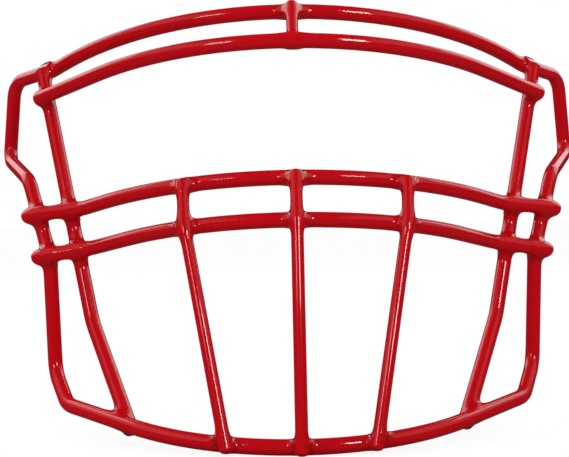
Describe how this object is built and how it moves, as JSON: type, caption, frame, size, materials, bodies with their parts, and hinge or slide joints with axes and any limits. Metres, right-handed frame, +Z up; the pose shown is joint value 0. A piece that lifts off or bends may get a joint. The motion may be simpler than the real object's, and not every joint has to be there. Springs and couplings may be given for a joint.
{
  "type": "football helmet facemask",
  "caption": "Welded wire cage for a football helmet: bent coated rods with an open eye level, cross bars over the mouth and rear corners for clips to the shell.",
  "frame": {"origin": "on the mirror plane, half way from front to back, level with the underside of the chin bar", "axes": "+X to the object's side that is on the right of the picture, -Y to the front, away from the wearer's face, +Z up as worn"},
  "size_m": [0.2656, 0.1364, 0.178],
  "materials": {
    "red_coat": "gloss"
  },
  "bodies": {
    "root": {"perimeter_loop": "red_coat", "lower_brow_bar": "red_coat", "upper_cross_bar": "red_coat", "lower_cross_bar": "red_coat", "left_upright": "red_coat", "right_upright": "red_coat", "centre_vertical": "red_coat", "left_diagonal": "red_coat", "right_diagonal": "red_coat", "brow_strut": "red_coat", "weld_strut_brow": "red_coat", "weld_strut_low_brow": "red_coat", "weld_left_upright_brow": "red_coat", "weld_left_upright_low_brow": "red_coat", "weld_left_upright_upper": "red_coat", "weld_left_upright_lower": "red_coat", "weld_left_upright_chin": "red_coat", "weld_left_side_upper": "red_coat", "weld_left_side_lower": "red_coat", "weld_left_diagonal_upper": "red_coat", "weld_left_diagonal_lower": "red_coat", "weld_left_diagonal_chin": "red_coat", "weld_right_upright_brow": "red_coat", "weld_right_upright_low_brow": "red_coat", "weld_right_upright_upper": "red_coat", "weld_right_upright_lower": "red_coat", "weld_right_upright_chin": "red_coat", "weld_right_side_upper": "red_coat", "weld_right_side_lower": "red_coat", "weld_right_diagonal_upper": "red_coat", "weld_right_diagonal_lower": "red_coat", "weld_right_diagonal_chin": "red_coat", "weld_centre_upper": "red_coat", "weld_centre_lower": "red_coat", "weld_centre_chin": "red_coat"}
  },
  "joints": []
}
